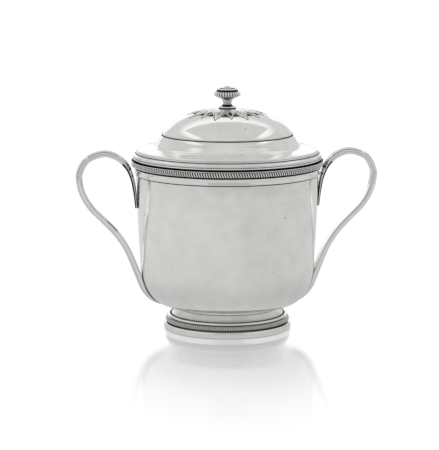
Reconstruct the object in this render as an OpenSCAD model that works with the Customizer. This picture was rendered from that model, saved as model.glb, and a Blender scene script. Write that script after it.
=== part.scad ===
// Covered sugar bowl in sheet silver: a deep round-bottomed bowl on a low drum foot, two
// looped strap handles, twisted-wire borders, and a lift-off domed lid with a leaf rosette
// and a fluted button finial. +Z is up, and the foot stands on z = 0.

/* [Bowl] */
// Outer radius of the bowl wall under the rim
bowl_r = 50; // [44:0.5:62]
// How far the side draws in on its way down to the turn
side_draw = 1.8; // [0.5:0.1:4]
// Height of the rounded turn above the base
turn_h = 25.8; // [18:0.1:32]
// Radius of the flat base
base_r = 30; // [28.5:0.5:36]
// Height of the bowl from its base to its lip
bowl_h = 81.7; // [68:0.1:100]
// Thickness of the bowl sheet
bowl_wall = 1.0; // [0.7:0.1:1.6]

/* [Rim mouldings] */
// How far the twisted rim wire stands out of the wall
rim_rope_out = 2.8; // [2:0.1:3.4]
// Height of the twisted rim wire
rim_rope_h = 2.9; // [2.2:0.1:3.4]
// Height of the plain lip above the rim wires
lip_clear = 1.7; // [1:0.1:3]
// Thickness of the flat wire over the twisted wire
rim_top_h = 0.4; // [0.3:0.1:1]
// Groove between the twisted wire and the lower moulding
rim_groove = 0.6; // [0.3:0.1:1.5]
// Height of the lower rim moulding
rim_band_h = 3.6; // [2.4:0.1:5]
// How far the lower rim moulding stands out of the wall
rim_band_out = 1.25; // [0.8:0.05:2]

/* [Foot] */
// Height of the foot from the table to the base of the bowl
foot_h = 13.5; // [12:0.1:20]
// How far the waist of the foot lies inside the flat base
waist_in = 1.7; // [1:0.1:4]
// How far the foot flares from its waist to its drum
foot_flare = 3.7; // [2:0.1:7]
// Thickness of the foot sheet
foot_wall = 1.0; // [0.7:0.1:1.6]
// How far the plinth stands out of the drum
plinth_out = 3.1; // [2.5:0.1:4.5]
// Height of the plinth
plinth_h = 3.5; // [2.5:0.1:5]
// How far the twisted foot wire stands out of the drum
foot_rope_out = 2.3; // [1.5:0.1:2.8]
// Height of the twisted foot wire
foot_rope_h = 2.6; // [2:0.1:3]
// How far the plain fillet stands out of the drum
foot_fillet_out = 1.2; // [0.8:0.1:2]
// Height of the plain fillet
foot_fillet_h = 1.2; // [0.8:0.1:2]
// Gap between one foot moulding and the next
foot_gap = 0.4; // [0.2:0.1:0.8]
// Height of the neck wire under the bowl
neck_wire_h = 1.8; // [1:0.1:2.4]

/* [Handles] */
// How far a handle stands out of the bowl wall
handle_out = 33.4; // [26:0.1:40]
// Width of the handle strap
handle_w = 8; // [6:0.1:11]
// Thickness of the handle strap over its middle reed
handle_t = 3.6; // [2.4:0.1:4.4]
// Thickness of the upper tongue at its tip
tongue_t = 1.2; // [0.8:0.1:2]
// Film of solder between a handle and the bowl
solder = 0.05; // [0.03:0.01:0.1]

/* [Lid] */
// Outer radius of the dome lip
dome_lip_r = 35.85; // [30:0.05:43]
// Height of the dome above its lip
dome_h = 13.9; // [10:0.1:20]
// How far the drum below the dome flares outside the dome lip
lid_flare = 3.7; // [1:0.1:5]
// Height of the drum below the dome
lid_drum_h = 7.1; // [4:0.1:10]
// Height of the brim's inner edge above its outer edge
brim_rise = 1.5; // [1:0.1:6]
// Thickness of the lid sheet
lid_wall = 1.0; // [0.7:0.1:1.6]
// How far the lid's edge moulding overhangs the bowl wall
lid_over = 1.85; // [1.2:0.05:2.4]
// Height of the lid's edge moulding
edge_h = 4.1; // [3:0.1:6]
// Clearance between the bezel and the inside of the bowl
bezel_clear = 0.35; // [0.3:0.05:0.6]
// Thickness of the bezel
bezel_wall = 0.9; // [0.6:0.1:1.4]
// How far the bezel reaches down into the bowl
bezel_depth = 6; // [4:0.5:12]

/* [Leaf rosette] */
// Reach of the leaves from the middle
leaf_r = 23.3; // [18:0.1:28]
// Number of leaves
leaf_n = 16; // [8:2:24]
// Thickness of the leaf sheet
leaf_t = 0.5; // [0.3:0.1:1]

/* [Finial] */
// Radius of the collar under the finial
collar_r = 5.05; // [4.5:0.05:7]
// Height of the collar's disc above the leaves
collar_h = 0.6; // [0.5:0.05:1.5]
// Height of the hollow cone on the collar
cone_h = 1.15; // [1:0.05:3]
// Radius of the stem at its thinnest
stem_r = 2.3; // [2:0.1:3.5]
// Height of the stem
stem_h = 3; // [2:0.1:6]
// Radius of the button at its widest
button_r = 7.3; // [6:0.1:10]
// Height of the button
button_h = 4.85; // [3.5:0.05:7]
// Height of the crowning bead and its seat
cap_h = 2.25; // [1.5:0.05:3]
// Radius of the fixing stud
stud_r = 1.2; // [0.9:0.1:1.5]
// How far the stud reaches below the dome
stud_drop = 4; // [3.5:0.5:8]

/* [Hidden] */
$fn = 96;

silver = [0.86, 0.86, 0.84];
wire_silver = [0.78, 0.78, 0.76];
cast_silver = [0.82, 0.82, 0.8];

// Heights and radii on the bowl
base_z = foot_h;
turn_r = bowl_r - side_draw;
turn_z = base_z + turn_h;
lip_z = base_z + bowl_h;
rim_top_z = lip_z - lip_clear;
rim_rope_z = rim_top_z - rim_top_h - rim_rope_h;
rim_band_z = rim_rope_z - rim_groove - rim_band_h;

// The side draws in to the turn, and the turn is a full, squarish quarter round.
side_power = 1.6;
turn_power_r = 0.79;
turn_power_z = 0.87;
side_steps = 10;
turn_steps = 22;
function side_point(z) =
    [bowl_r - (bowl_r - turn_r) * pow((rim_band_z - z) / (rim_band_z - turn_z), side_power), z];
function turn_point(a) =
    [base_r + (turn_r - base_r) * pow(max(cos(a), 0), turn_power_r),
     turn_z - turn_h * pow(max(sin(a), 0), turn_power_z)];
bowl_outline = concat(
    [[0, base_z]],
    [for (i = [turn_steps:-1:0]) turn_point(90 * i / turn_steps)],
    [for (i = [1:side_steps]) side_point(turn_z + (rim_band_z - turn_z) * i / side_steps)],
    [[bowl_r, lip_z]]
);

// The line a sheet's thickness to the left of an outline walked from the axis outwards
function unit(v) = v / norm(v);
function left_of(v) = [-v[1], v[0]];
function joint_shift(p, q, r, d) =
    let (m = left_of(unit(q - p)), n = left_of(unit(r - q)), s = m + n)
    s * (2 * d / (s * s));
function inset(line, d) = [for (i = [0:len(line) - 1])
    i == 0 ? line[0] + d * left_of(unit(line[1] - line[0]))
    : i == len(line) - 1 ? line[i] + d * left_of(unit(line[i] - line[i - 1]))
    : line[i] + joint_shift(line[i - 1], line[i], line[i + 1], d)];
function reversed(line) = [for (i = [len(line) - 1:-1:0]) line[i]];
function arc(c, r, from, to, steps) = [for (i = [0:steps])
    let (a = from + (to - from) * i / steps)
    c + r * [cos(a), sin(a)]];

module turned(outline) rotate_extrude() polygon(outline);

// A round-faced wire soldered on a cylinder: flat back, half-round front
module half_round(back_r, low_z, out, height) {
    round_r = height / 2;
    face_r = back_r + max(out - round_r, 0.05);
    turned(concat(
        [[back_r, low_z]],
        [for (p = arc([0, 0], 1, -90, 90, 12))
            [face_r + p[0] * (back_r + out - face_r), low_z + round_r * (1 + p[1])]],
        [[back_r, low_z + height]]));
}

// ---- bowl ----

module bowl_shell() color(silver) turned(concat(bowl_outline, reversed(inset(bowl_outline, bowl_wall))));

module rim_top_wire() color(wire_silver)
    turned([
        [bowl_r, rim_top_z - rim_top_h],
        [bowl_r + rim_rope_out - 0.15, rim_top_z - rim_top_h],
        [bowl_r + rim_rope_out, rim_top_z - rim_top_h / 2],
        [bowl_r + rim_rope_out - 0.15, rim_top_z],
        [bowl_r, rim_top_z]]);

module rim_rope() color(wire_silver) half_round(bowl_r, rim_rope_z, rim_rope_out, rim_rope_h);

// An upper reed and a smaller lower reed with a hollow between them
upper_reed = 0.45;
lower_reed = 0.32;
module rim_band() color(wire_silver) {
    hollow_out = rim_band_out - upper_reed;
    upper_c = [bowl_r + hollow_out, rim_band_z + rim_band_h - upper_reed];
    lower_c = [bowl_r + hollow_out - 0.15, rim_band_z + lower_reed];
    turned(concat(
        [[bowl_r, rim_band_z]],
        arc(lower_c, lower_reed, -90, 60, 6),
        [[bowl_r + hollow_out - 0.2, rim_band_z + rim_band_h / 2]],
        arc(upper_c, upper_reed, -60, 90, 6),
        [[bowl_r, rim_band_z + rim_band_h]]));
}

// ---- foot ----

waist_r = base_r - waist_in;
drum_r = waist_r + foot_flare;
plinth_r = drum_r + plinth_out;
foot_rope_z = plinth_h + foot_gap;
foot_fillet_z = foot_rope_z + foot_rope_h + foot_gap;
neck_z = foot_fillet_z + foot_fillet_h;
waist_z = base_z - neck_wire_h;

// A hollow neck that flares in a quarter curve from the waist to a straight drum, which
// ends a little above the table inside the plinth
drum_clear = 0.4;
module foot_drum() color(silver) {
    neck = [for (i = [0:10])
        let (s = i / 10)
        [drum_r - (drum_r - waist_r) * pow(s, 0.8), neck_z + (waist_z - neck_z) * s]];
    outside = concat([[drum_r, drum_clear]], neck, [[waist_r, base_z]]);
    turned(concat(outside, reversed(inset(outside, foot_wall))));
}

neck_wire_out = 0.6;
module foot_neck_wire() color(wire_silver)
    half_round(waist_r, waist_z, neck_wire_out, neck_wire_h);

module foot_fillet() color(wire_silver)
    half_round(drum_r, foot_fillet_z, foot_fillet_out, foot_fillet_h);

module foot_rope() color(wire_silver) half_round(drum_r, foot_rope_z, foot_rope_out, foot_rope_h);

module foot_plinth() color(silver) {
    edge = 0.5;
    turned(concat(
        [[drum_r, 0], [plinth_r, 0]],
        arc([plinth_r - edge - 0.25, plinth_h - edge], edge, 20, 90, 5),
        [[drum_r, plinth_h]]));
}

// ---- handles ----

// The strap starts as a thin tongue on the wall, loops out over the rim, and comes back
// to lie along the turn of the bowl. Each free point is [share of the reach, share of the
// bowl's height], so the loop follows the bowl.
loop_points = [
    [0.073, 0.857], [0.158, 0.939], [0.329, 1.005], [0.574, 1.032], [0.853, 0.993],
    [0.989, 0.906], [0.989, 0.820], [0.916, 0.736], [0.778, 0.655], [0.572, 0.575],
    [0.378, 0.496], [0.225, 0.4125], [0.125, 0.3366]];
tongue_heights = [0.660, 0.720, 0.785];
tongue_lift = [0, 0, 0.35];
tail_start = 16;
tail_end = 76;
tail_steps = 8;
tail_tip_t = 0.5;
tail_lift = 0.3;
steps_between = 3;

loop_reach = handle_out - handle_t / 2;
function loop_thick(i) = handle_t * (i == 0 ? 0.61 : i == 1 ? 0.83 : 1);
function loop_at(p) = [bowl_r + p[0] * loop_reach, base_z + p[1] * bowl_h];
function tongue_thick(i) = tongue_t + i * (handle_t - tongue_t) / 8;
function tongue_at(i) =
    side_point(base_z + tongue_heights[i] * bowl_h)
    + [solder + tongue_lift[i] + tongue_thick(i) / 2, 0];
function turn_normal(a) = unit(-left_of(turn_point(a - 0.5) - turn_point(a + 0.5)));
function tail_angle(i) = tail_start + (tail_end - tail_start) * i / tail_steps;
function tail_thick(i) = tail_tip_t + (handle_t - tail_tip_t) * pow(1 - i / tail_steps, 0.7);
function tail_at(i) =
    turn_point(tail_angle(i))
    + (solder + (i == 0 ? tail_lift : 0) + tail_thick(i) / 2) * turn_normal(tail_angle(i));

// Each station of the strap is [radius, height, thickness].
function station(p, t) = [p[0], p[1], t];
strap = concat(
    [for (i = [0:len(tongue_heights) - 1]) station(tongue_at(i), tongue_thick(i))],
    [for (i = [0:len(loop_points) - 1]) station(loop_at(loop_points[i]), loop_thick(i))],
    [for (i = [0:tail_steps]) station(tail_at(i), tail_thick(i))]);
function strap_at(i) = strap[min(max(i, 0), len(strap) - 1)];
function catmull(a, b, c, d, t) =
    0.5 * (2 * b + t * (c - a) + t * t * (2 * a - 5 * b + 4 * c - d)
    + t * t * t * (3 * b - 3 * c + d - a));
smooth_strap = concat(
    [for (i = [0:len(strap) - 2]) for (k = [0:steps_between - 1])
        catmull(strap_at(i - 1), strap_at(i), strap_at(i + 1), strap_at(i + 2), k / steps_between)],
    [strap[len(strap) - 1]]);

// The section of the strap as [across, outwards], both as shares: a flat back, an edge
// reed on each side and a crowned middle reed.
strap_section = [
    [-0.5, 0.2], [-0.42, 0], [0.42, 0], [0.5, 0.2], [0.5, 0.5], [0.42, 0.68],
    [0.29, 0.58], [0.18, 0.9], [0, 1], [-0.18, 0.9], [-0.29, 0.58], [-0.42, 0.68], [-0.5, 0.5]];

end_taper = 5;
function flat(s) = [s[0], s[1]];
function strap_width(i) =
    let (n = len(smooth_strap) - 1, near = min(i, n - i))
    handle_w * (near >= end_taper ? 1 : sqrt(1 - pow(0.85 * (1 - near / end_taper), 2)));
function strap_ring(i) =
    let (n = len(smooth_strap) - 1, here = smooth_strap[i],
         ahead = flat(smooth_strap[min(i + 1, n)] - smooth_strap[max(i - 1, 0)]),
         out = -left_of(unit(ahead)),
         up = [for (q = strap_section) flat(here) - out * (q[1] - 0.5) * here[2]])
    [for (k = [0:len(strap_section) - 1])
        [up[k][0], strap_section[k][0] * strap_width(i), up[k][1]]];

module handle() {
    count = len(smooth_strap);
    side = len(strap_section);
    points = [for (i = [0:count - 1]) each strap_ring(i)];
    skin = [for (i = [0:count - 2]) for (k = [0:side - 1])
        let (a = i * side + k, b = i * side + (k + 1) % side, c = b + side, d = a + side)
        each [[a, b, c], [a, c, d]]];
    ends = [[for (k = [side - 1:-1:0]) k], [for (k = [0:side - 1]) (count - 1) * side + k]];
    polyhedron(points = points, faces = concat(skin, ends), convexity = 8);
}

module right_handle() color(silver) handle();
module left_handle() color(silver) rotate([0, 0, 180]) handle();

// ---- lid ----

lid_edge_r = bowl_r + lid_over;
lid_drum_r = dome_lip_r + lid_flare;
bezel_r = bowl_r - bowl_wall - bezel_clear;
edge_top_z = lip_z + edge_h;
brim_z = edge_top_z + brim_rise;
dome_z = brim_z + lid_drum_h;
dome_top_z = dome_z + dome_h;

// The dome is a slightly pointed quarter ellipse that starts below its lip, in the drum.
dome_power = 0.9;
dome_foot_z = dome_z - dome_h * 0.4245;
dome_foot_r = dome_lip_r + 1.05;
dome_steps = 22;
dome_lip_h = 0.6;
dome_full = dome_top_z - dome_foot_z;
dome_start = acos(pow((dome_z + dome_lip_h - dome_foot_z) / dome_full, 1 / dome_power));
function dome_point(a) =
    [dome_foot_r * sin(a), dome_foot_z + dome_full * pow(max(cos(a), 0), dome_power)];
dome_outline = concat(
    [[dome_lip_r, dome_z], [dome_lip_r, dome_z + dome_lip_h]],
    [for (i = [0:dome_steps]) dome_point(dome_start * (1 - i / dome_steps))]);
function dome_height(r) =
    dome_foot_z + dome_full * pow(sqrt(1 - pow(r / dome_foot_r, 2)), dome_power);

// A plain round passage for the stud, with a little clearance
stud_hole_r = stud_r + 0.15;
module lid_dome() color(silver) {
    inside = [for (i = [0:dome_steps])
        let (a = dome_start * (1 - i / dome_steps))
        dome_point(a) - lid_wall * unit([sin(a) * dome_full, cos(a) * dome_foot_r])];
    difference() {
        turned(concat(
            [[dome_lip_r - lid_wall, dome_z]],
            dome_outline,
            [[0, dome_top_z - lid_wall]],
            reversed([for (p = inside) if (p[0] > 0.01) p])));
        translate([0, 0, dome_top_z - 3 * lid_wall])
            cylinder(r = stud_hole_r, h = 6 * lid_wall);
    }
}

// The drum flares down in a hollow curve and runs out into the sloping brim.
module lid_brim() color(silver) {
    drum_top_r = dome_lip_r - 0.45;
    drum = [for (i = [0:8])
        let (s = i / 8)
        [lid_drum_r - (lid_drum_r - drum_top_r) * pow(s, 0.75), brim_z + lid_drum_h * pow(s, 1.15)]];
    outside = concat([[bezel_r, edge_top_z]], drum);
    inner = inset(outside, lid_wall);
    under_z = inner[0][1] + (inner[0][0] - bezel_r) * brim_rise / (bezel_r - lid_drum_r);
    turned(concat(
        outside,
        [[drum_top_r - lid_wall, dome_z]],
        reversed([for (i = [1:len(inner) - 2]) inner[i]]),
        [[bezel_r, under_z]]));
}

// A stack of reeds that steps down and outwards, flat below where it sits on the lip. The
// lowest reed hangs a little lower, outside the lip.
module lid_edge_wire() color(wire_silver) {
    low = 0.5;
    mid = 0.55;
    small = 0.35;
    hang = 0.9;
    low_c = [lid_edge_r - low, lip_z + low - hang];
    mid_c = [lid_edge_r - mid - 0.25, lip_z + 1.2];
    small_c = [lid_edge_r - 2.0, lip_z + 2.9];
    turned(concat(
        [[bezel_r, lip_z], [low_c[0] - 0.8, lip_z], [low_c[0] - 0.55, low_c[1] - 0.2]],
        arc(low_c, low, -90, 60, 7),
        arc(mid_c, mid, -60, 75, 7),
        arc(small_c, small, -30, 100, 5),
        [[bezel_r + 0.9, edge_top_z - 0.55], [bezel_r + 0.75, edge_top_z - 0.1],
         [bezel_r + 0.35, edge_top_z + 0.1], [bezel_r, edge_top_z]]));
}

module lid_bezel() color(silver) {
    slope = brim_rise / (bezel_r - lid_drum_r);
    under = lid_wall * sqrt(1 + slope * slope);
    turned([
        [bezel_r - bezel_wall, lip_z - bezel_depth],
        [bezel_r, lip_z - bezel_depth],
        [bezel_r, edge_top_z - under],
        [bezel_r - bezel_wall, edge_top_z - under + slope * bezel_wall]]);
}

// Leaves alternate between broad ones and narrow pointed ones, cut from one dished sheet.
leaf_film = 0.07;
leaf_steps = 10;
leaf_root_r = collar_r + 0.05;
module leaf_outline() {
    pitch = 360 / leaf_n;
    for (i = [0:leaf_n - 1]) rotate(i * pitch) {
        broad = i % 2;
        tip = broad ? leaf_r : leaf_r * 0.94;
        half = tip * tan(pitch / 2) * (broad ? 0.8 : 0.62);
        polygon([
            [0, 0], [tip * 0.3, -tip * 0.3 * tan(pitch / 2) - 0.2],
            [tip * 0.62, -half * 0.95], [tip * 0.85, -half * 0.7], [tip, 0],
            [tip * 0.85, half * 0.7], [tip * 0.62, half * 0.95],
            [tip * 0.3, tip * 0.3 * tan(pitch / 2) + 0.2]]);
    }
}
module leaf_rosette() color(cast_silver) {
    line = [for (i = [0:leaf_steps])
        let (r = leaf_root_r + (leaf_r - leaf_root_r + 1) * i / leaf_steps)
        [r, dome_height(r) + leaf_film]];
    intersection() {
        turned(concat(line, reversed([for (p = line) p + [0, leaf_t]])));
        translate([0, 0, dome_z]) linear_extrude(dome_h + 4) leaf_outline();
    }
}

// ---- finial ----

disc_z = dome_top_z + leaf_film + leaf_t + collar_h;
stem_z = disc_z + cone_h;
button_z = stem_z + stem_h;
cap_z = button_z + button_h;

// The collar is a disc dished to the dome, ringed by the roots of the leaves, and carries
// a hollow cone.
module finial_collar() color(cast_silver) {
    lap = 0.15;
    seat = [for (i = [0:5])
        let (r = stud_r + (collar_r - stud_r) * i / 5)
        [r, dome_height(r) + leaf_film]];
    turned(concat(seat, [
        [collar_r, disc_z - lap], [collar_r - lap, disc_z], [stem_r + 1.1, disc_z + 0.1],
        [stem_r + 0.5, disc_z + cone_h * 0.5], [stem_r + 0.1, stem_z], [stud_r, stem_z]]));
}

// The stud runs up inside the stem and ends in the button.
stud_top_z = button_z + 1.2;
module finial_stem() color(cast_silver)
    turned(concat(
        [[stud_r, stem_z], [stem_r + 0.1, stem_z]],
        [for (i = [1:8])
            let (s = i / 8)
            [stem_r + 1.2 * pow(s, 3), stem_z + stem_h * s]],
        [[stud_r, button_z]]));

module finial_button() color(cast_silver) {
    under_h = button_h * 0.3;
    difference() {
        turned([
            [0, button_z], [stem_r + 1.2, button_z], [button_r * 0.68, button_z + under_h * 0.5],
            [button_r * 0.93, button_z + under_h], [button_r, button_z + button_h * 0.48],
            [button_r * 0.97, button_z + button_h * 0.66], [button_r * 0.83, button_z + button_h * 0.9],
            [button_r * 0.78, cap_z], [0, cap_z]]);
        translate([0, 0, button_z - 1]) cylinder(r = stud_r, h = stud_top_z - button_z + 1);
    }
}

// A rounded ring on top of the button, dished inside it, with a bead in the middle
module finial_cap() color(cast_silver) {
    bead_r = 2.1;
    ring_h = cap_h * 0.26;
    dish_z = cap_z + ring_h * 0.8;
    turned(concat(
        [[0, cap_z], [button_r * 0.74, cap_z], [button_r * 0.76, cap_z + ring_h * 0.4],
         [button_r * 0.73, cap_z + ring_h], [button_r * 0.6, cap_z + ring_h],
         [bead_r + 0.25, dish_z]],
        [for (i = [0:7])
            let (a = 90 * i / 7)
            [bead_r * cos(a), dish_z + (cap_z + cap_h - dish_z) * sin(a)]]));
}

// The washer bears on the hollow side of the dome with its edge.
washer_r = 3.4;
washer_t = 0.8;
nut_h = 2;
nut_r = 3;
washer_gap = 0.08;
dome_under_z = dome_height(washer_r) - lid_wall - washer_gap;
module finial_stud() color(cast_silver)
    translate([0, 0, dome_under_z - stud_drop])
        cylinder(r = stud_r, h = stud_top_z - dome_under_z + stud_drop);

module finial_washer() color(silver)
    translate([0, 0, dome_under_z - washer_t])
        difference() {
            cylinder(r = washer_r, h = washer_t);
            translate([0, 0, -1]) cylinder(r = stud_hole_r, h = washer_t + 2);
        }

module finial_nut() color(silver)
    translate([0, 0, dome_under_z - washer_t - nut_h])
        difference() {
            cylinder(r = nut_r, h = nut_h, $fn = 6);
            translate([0, 0, -1]) cylinder(r = stud_r, h = nut_h + 2);
        }

bowl_shell();
rim_top_wire();
rim_rope();
rim_band();
foot_neck_wire();
foot_drum();
foot_fillet();
foot_rope();
foot_plinth();
left_handle();
right_handle();
lid_dome();
lid_brim();
lid_edge_wire();
lid_bezel();
leaf_rosette();
finial_collar();
finial_stem();
finial_button();
finial_cap();
finial_stud();
finial_washer();
finial_nut();
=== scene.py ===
"""A covered sugar bowl in sheet silver: its looks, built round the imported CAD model.

Lengths are metres, +Z is up and the foot stands on z = 0. Sizes come from the CAD nodes'
boxes; the few that a box can't tell are named where they are used.
"""
import math

import bmesh
import bpy
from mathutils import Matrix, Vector, noise


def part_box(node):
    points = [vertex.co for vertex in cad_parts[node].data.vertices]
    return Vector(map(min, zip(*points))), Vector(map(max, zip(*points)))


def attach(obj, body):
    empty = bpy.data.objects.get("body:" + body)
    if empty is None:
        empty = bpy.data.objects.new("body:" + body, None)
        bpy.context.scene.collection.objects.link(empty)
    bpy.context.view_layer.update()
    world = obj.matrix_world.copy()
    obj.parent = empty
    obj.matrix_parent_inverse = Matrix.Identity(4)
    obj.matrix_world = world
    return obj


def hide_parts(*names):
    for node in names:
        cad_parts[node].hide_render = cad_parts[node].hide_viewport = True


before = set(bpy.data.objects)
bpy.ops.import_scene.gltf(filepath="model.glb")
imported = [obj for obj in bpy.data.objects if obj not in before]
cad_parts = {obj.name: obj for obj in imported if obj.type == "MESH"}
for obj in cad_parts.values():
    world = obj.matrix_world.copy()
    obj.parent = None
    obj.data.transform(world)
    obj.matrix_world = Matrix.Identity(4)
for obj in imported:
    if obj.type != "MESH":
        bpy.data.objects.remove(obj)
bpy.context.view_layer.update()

MM = 0.001
FULL = 2 * math.pi


# ---- sizes from the frame ----

def span(node):
    """Bottom, top and outer radius of a turned node."""
    low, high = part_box(node)
    return low.z, high.z, high.x


BASE_Z, LIP_Z, BOWL_R = span("bowl_shell")
BAND_Z, BAND_TOP_Z, BAND_R = span("rim_band")
ROPE_Z, ROPE_TOP_Z, ROPE_R = span("rim_rope")
RIM_Z, RIM_TOP_Z, RIM_R = span("rim_top_wire")
NECK_Z, NECK_TOP_Z, NECK_R = span("foot_neck_wire")
DRUM_Z, _, DRUM_R = span("foot_drum")
FILLET_Z, FILLET_TOP_Z, FILLET_R = span("foot_fillet")
FOOT_ROPE_Z, FOOT_ROPE_TOP_Z, FOOT_ROPE_R = span("foot_rope")
PLINTH_Z, PLINTH_TOP_Z, PLINTH_R = span("foot_plinth")
_, EDGE_TOP_Z, EDGE_R = span("lid_edge_wire")
_, BRIM_TOP_Z, BRIM_R = span("lid_brim")
_, DOME_TOP_Z, DOME_R = span("lid_dome")
COLLAR_Z, COLLAR_TOP_Z, COLLAR_R = span("finial_collar")
STEM_Z, STEM_TOP_Z, STEM_R = span("finial_stem")
BUTTON_Z, BUTTON_TOP_Z, BUTTON_R = span("finial_button")
CAP_Z, CAP_TOP_Z, CAP_R = span("finial_cap")
CURVE_BULGE = 0.13 * MM  # how far the handle's smooth curve swings past its own points
HANDLE_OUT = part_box("right_handle")[1].x - BOWL_R - CURVE_BULGE
HANDLE_W = 2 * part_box("right_handle")[1].y

# What the boxes can't tell
BASE_R = 30 * MM
TURN_R = BOWL_R - 1.8 * MM
TURN_Z = BASE_Z + 25.8 * MM
WALL = 1.0 * MM
WAIST_R = NECK_R - 0.6 * MM
HANDLE_T = 3.6 * MM
STUD_R = 1.2 * MM
DOME_Z = BRIM_TOP_Z
CAMERA_TURN = math.radians(6)
FRONT = -math.pi / 2 - CAMERA_TURN


# ---- mesh helpers ----

def mesh_piece(name, points, faces, grime_and_shade, material, body, slot, nodes):
    """A smooth-shaded mesh with creases at its sharp edges, riding on a body."""
    mesh = bpy.data.meshes.new(name)
    mesh.from_pydata(points, [], faces)
    # This attribute holds how dark each point is made: tarnish and joints, and painted shade in
    # crevices, grooves and under overhangs.
    mesh.attributes.new("grime_and_shade", "FLOAT", "POINT").data.foreach_set("value", grime_and_shade)
    shape = bmesh.new()
    shape.from_mesh(mesh)
    bmesh.ops.remove_doubles(shape, verts=shape.verts, dist=1e-7)
    bmesh.ops.recalc_face_normals(shape, faces=shape.faces)
    for face in shape.faces:
        face.smooth = True
    for edge in shape.edges:
        if len(edge.link_faces) == 2 and edge.calc_face_angle(0) > math.radians(38):
            edge.smooth = False
    shape.to_mesh(mesh)
    shape.free()
    mesh.materials.append(material)
    piece = bpy.data.objects.new(name, mesh)
    bpy.context.scene.collection.objects.link(piece)
    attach(piece, body)
    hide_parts(*nodes)
    return piece


def grid_faces(rows, columns, wrap_rows, wrap_columns):
    """Quads over a grid of points stored row by row."""
    faces = []
    for i in range(rows if wrap_rows else rows - 1):
        for j in range(columns if wrap_columns else columns - 1):
            i2, j2 = (i + 1) % rows, (j + 1) % columns
            faces.append((i * columns + j, i * columns + j2, i2 * columns + j2, i2 * columns + j))
    return faces


def turned(outline, segments, relief=None):
    """Points, faces and darkness of a closed outline of (radius, height, darkness) turned round Z.

    relief(radius, height, darkness, angle, index) gives the point's own radius, height and
    darkness, where darkness stands for tarnish, joints and painted shade.
    """
    points, grime_and_shade = [], []
    for s in range(segments):
        angle = FULL * s / segments
        for k, (r, z, g) in enumerate(outline):
            if relief:
                r, z, g = relief(r, z, g, angle, k)
            points.append((r * math.cos(angle), r * math.sin(angle), z))
            grime_and_shade.append(g)
    return points, grid_faces(segments, len(outline), True, True), grime_and_shade


def clean(line, grime_and_shade=0.0):
    """Outline points with an even darkness, for tarnish and painted shade."""
    return [(r, z, grime_and_shade) for r, z in line]


def arc(center, radius, start, end, steps):
    """Points on an arc, with angles in degrees."""
    angles = [math.radians(start + (end - start) * i / steps) for i in range(steps + 1)]
    return [(center[0] + radius * math.cos(a), center[1] + radius * math.sin(a)) for a in angles]


def catmull(a, b, c, d, t):
    """One number on the smooth curve from b to c."""
    return 0.5 * (2 * b + t * (c - a) + t * t * (2 * a - 5 * b + 4 * c - d)
                  + t ** 3 * (3 * b - 3 * c + d - a))


def smooth_line(points, steps):
    """A smooth curve through the points, which may have any number of coordinates."""
    last = len(points) - 1
    line = []
    for i in range(last):
        near = [points[min(max(i + k, 0), last)] for k in (-1, 0, 1, 2)]
        for step in range(steps):
            line.append(tuple(catmull(*axis, step / steps) for axis in zip(*near)))
    return line + [tuple(points[-1])]


def inner_line(line, gap):
    """The line a gap to the left of an outline that is walked from the axis outwards."""
    moved = []
    for i, (r, z) in enumerate(line):
        before, after = line[max(i - 1, 0)], line[min(i + 1, len(line) - 1)]
        along = Vector((after[0] - before[0], after[1] - before[1])).normalized()
        moved.append((max(r - gap * along.y, 0), z + gap * along.x))
    return moved


def ease(x):
    """A smooth step from 0 to 1."""
    x = min(max(x, 0.0), 1.0)
    return x * x * (3 - 2 * x)


def bell(x, width):
    """A smooth bump of height 1 at 0."""
    return math.exp(-(x / width) ** 2)


def dents(r, z, angle, size, depth):
    """How far hand work has left the surface off true: shallow facets and longer waves."""
    here = Vector((r * math.cos(angle), r * math.sin(angle), z)) / size
    return depth * (noise.noise(here) + 0.45 * noise.noise(here * 2.7 + Vector((5, 2, 8))))


# ---- silver ----

def link(tree, out, to):
    tree.links.new(out, to)


def add(tree, kind, **values):
    """A node with some of its inputs set; names in values are input names with _ for a space."""
    node = tree.nodes.new(kind)
    for name, value in values.items():
        node.inputs[name.replace("_", " ")].default_value = value
    return node


def ramp(tree, source, stops, out="Color"):
    """A colour ramp through (position, grey or colour) stops."""
    node = tree.nodes.new("ShaderNodeValToRGB")
    line = node.color_ramp
    while len(line.elements) < len(stops):
        line.elements.new(0.5)
    for element, (position, shade) in zip(line.elements, stops):
        element.position = position
        element.color = (*((shade,) * 3 if isinstance(shade, float) else shade), 1)
    link(tree, source, node.inputs["Fac"])
    return node.outputs[out]


def mixed(tree, factor, low, high, mode="MIX"):
    """Colours low and high mixed by a factor; each may be an output or a colour."""
    node = tree.nodes.new("ShaderNodeMix")
    node.data_type = "RGBA"
    node.blend_type = mode
    for value, socket in ((factor, node.inputs[0]), (low, node.inputs[6]), (high, node.inputs[7])):
        if isinstance(value, bpy.types.NodeSocket):
            link(tree, value, socket)
        else:
            socket.default_value = value
    return node.outputs[2]


def noise_at(tree, place, scale, detail=3.0, stretch=(1, 1, 1), distortion=0.0):
    """Noise over the object's own coordinates, in waves per metre."""
    mapping = add(tree, "ShaderNodeMapping", Scale=stretch)
    link(tree, place, mapping.inputs["Vector"])
    node = add(tree, "ShaderNodeTexNoise", Scale=scale, Detail=detail, Roughness=0.55,
               Distortion=distortion)
    link(tree, mapping.outputs["Vector"], node.inputs["Vector"])
    return node.outputs["Fac"]


def pits_at(tree, place, scale, share, size):
    """1 in a few small round pits and 0 elsewhere."""
    cells = add(tree, "ShaderNodeTexVoronoi", Scale=scale)
    link(tree, place, cells.inputs["Vector"])
    chosen = add(tree, "ShaderNodeSeparateColor")
    link(tree, cells.outputs["Color"], chosen.inputs["Color"])
    few = ramp(tree, chosen.outputs["Red"], [(share, 1.0), (share + 0.01, 0.0)])
    dot = ramp(tree, cells.outputs["Distance"], [(size * 0.5, 1.0), (size, 0.0)])
    return mixed(tree, 1.0, few, dot, "MULTIPLY")


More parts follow.
